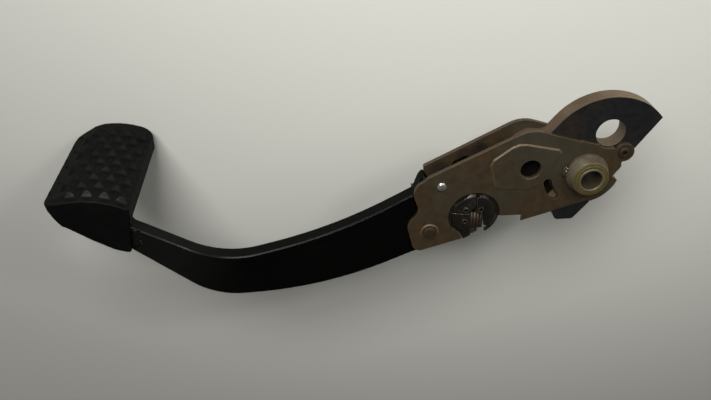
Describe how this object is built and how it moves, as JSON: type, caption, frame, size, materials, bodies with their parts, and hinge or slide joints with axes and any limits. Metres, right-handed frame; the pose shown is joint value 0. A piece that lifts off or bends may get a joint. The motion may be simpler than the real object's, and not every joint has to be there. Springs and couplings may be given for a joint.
{
  "type": "brake pedal",
  "caption": "Hanging brake pedal: bent bar arm, rubber pad, riveted side plates round a thick lever, bushed pivot tube and a push rod clip.",
  "frame": {"origin": "on the pivot's axis, in the plane of the near side plate's outer face", "axes": "+Z along the pivot's axis towards the side with the push rod clip, +Y towards the driver, the side that the tread faces, and -X from the pivot to the pad"},
  "size_m": [0.3517, 0.1271, 0.104],
  "materials": {
    "arm_paint": "gloss black dip paint",
    "plate_steel": "old yellow chromate with a rust bloom",
    "lever_steel": "dark oiled steel with brown edges",
    "tube_steel": "dull zinc plated steel",
    "weld_metal": "bright weld bead",
    "bush_plastic": "olive yellow moulded plastic",
    "sleeve_steel": "drawn steel tube",
    "rivet_steel": "bright rivet steel",
    "rusty_rivet": "rivet head under the plate's finish",
    "pad_rubber": "moulded black rubber",
    "socket_steel": "greasy steel collet",
    "clip_steel": "phosphated spring steel"
  },
  "bodies": {
    "pedal": {"pedal_arm": "arm_paint", "near_side_plate": "plate_steel", "far_side_plate": "plate_steel", "lever_plate": "lever_steel", "pivot_tube": "tube_steel", "near_tube_welds": "weld_metal", "far_tube_welds": "weld_metal", "near_pivot_bush": "bush_plastic", "far_pivot_bush": "bush_plastic", "upper_rivet": "rivet_steel", "lower_rivet": "rusty_rivet", "lobe_rivet": "rusty_rivet", "pad_plate": "arm_paint", "side_weld": "arm_paint", "toe_weld": "arm_paint", "pedal_pad": "pad_rubber", "rod_socket": "socket_steel", "rod_clip": "clip_steel", "clip_pin": "clip_steel"},
    "sleeve": {"pivot_sleeve": "sleeve_steel"}
  },
  "joints": [
    {"name": "pivot_turn", "type": "hinge", "parent": "pedal", "child": "sleeve", "pos_m": [0, 0, -0.0075], "axis": [0, 0, 1], "continuous": true}
  ]
}
